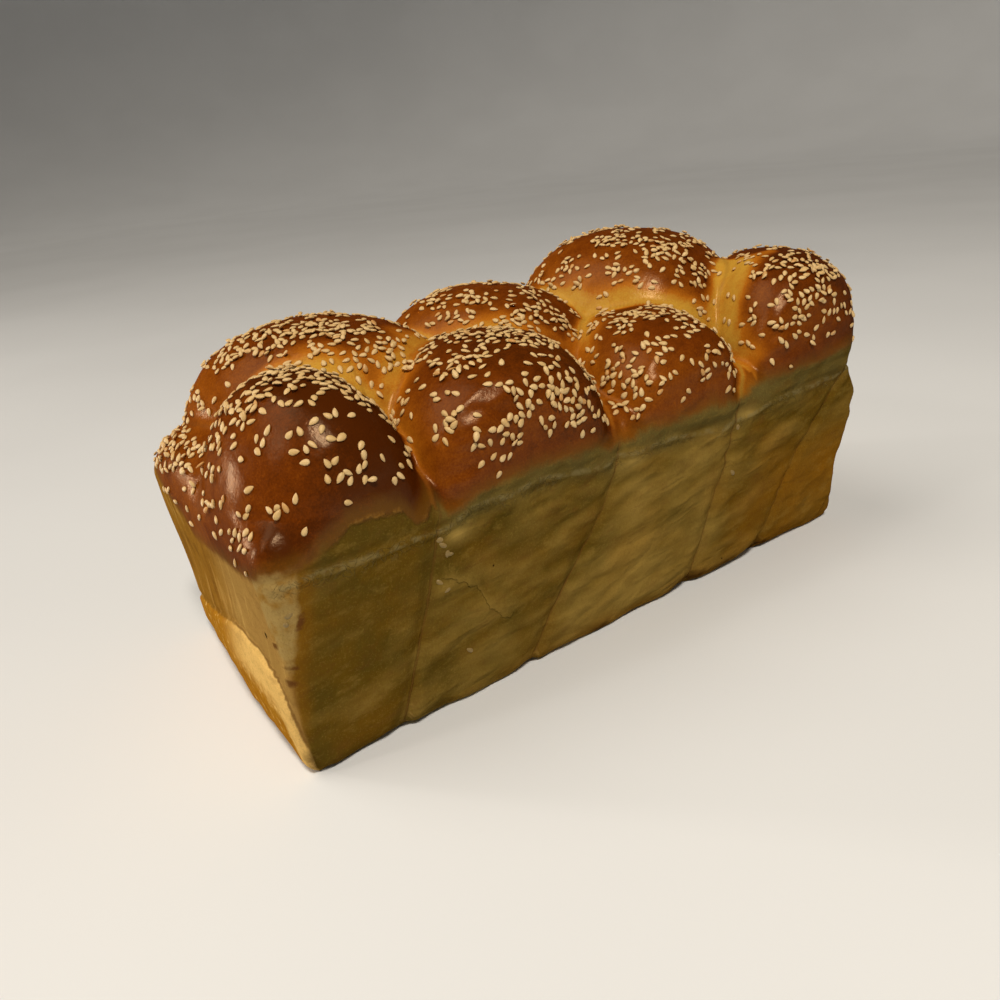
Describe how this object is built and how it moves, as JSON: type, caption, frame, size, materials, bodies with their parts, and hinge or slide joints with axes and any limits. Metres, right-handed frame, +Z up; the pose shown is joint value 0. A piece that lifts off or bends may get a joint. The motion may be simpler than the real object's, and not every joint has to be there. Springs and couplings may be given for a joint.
{
  "type": "challah loaf",
  "caption": "Plaited challah baked in a long tin: straight tapered walls, a domed plait standing over the rim, egg-glazed and scattered with sesame seeds.",
  "frame": {"origin": "middle of the flat base, under the middle of the loaf's box", "axes": "+X along the loaf towards its tall end, +Z up, -Y out of the long wall that the picture shows"},
  "size_m": [0.2444, 0.1108, 0.117],
  "materials": {
    "crust": "egg-glazed brown crust with pale sides and sesame seeds"
  },
  "bodies": {
    "root": {"challah": "crust"}
  },
  "joints": []
}
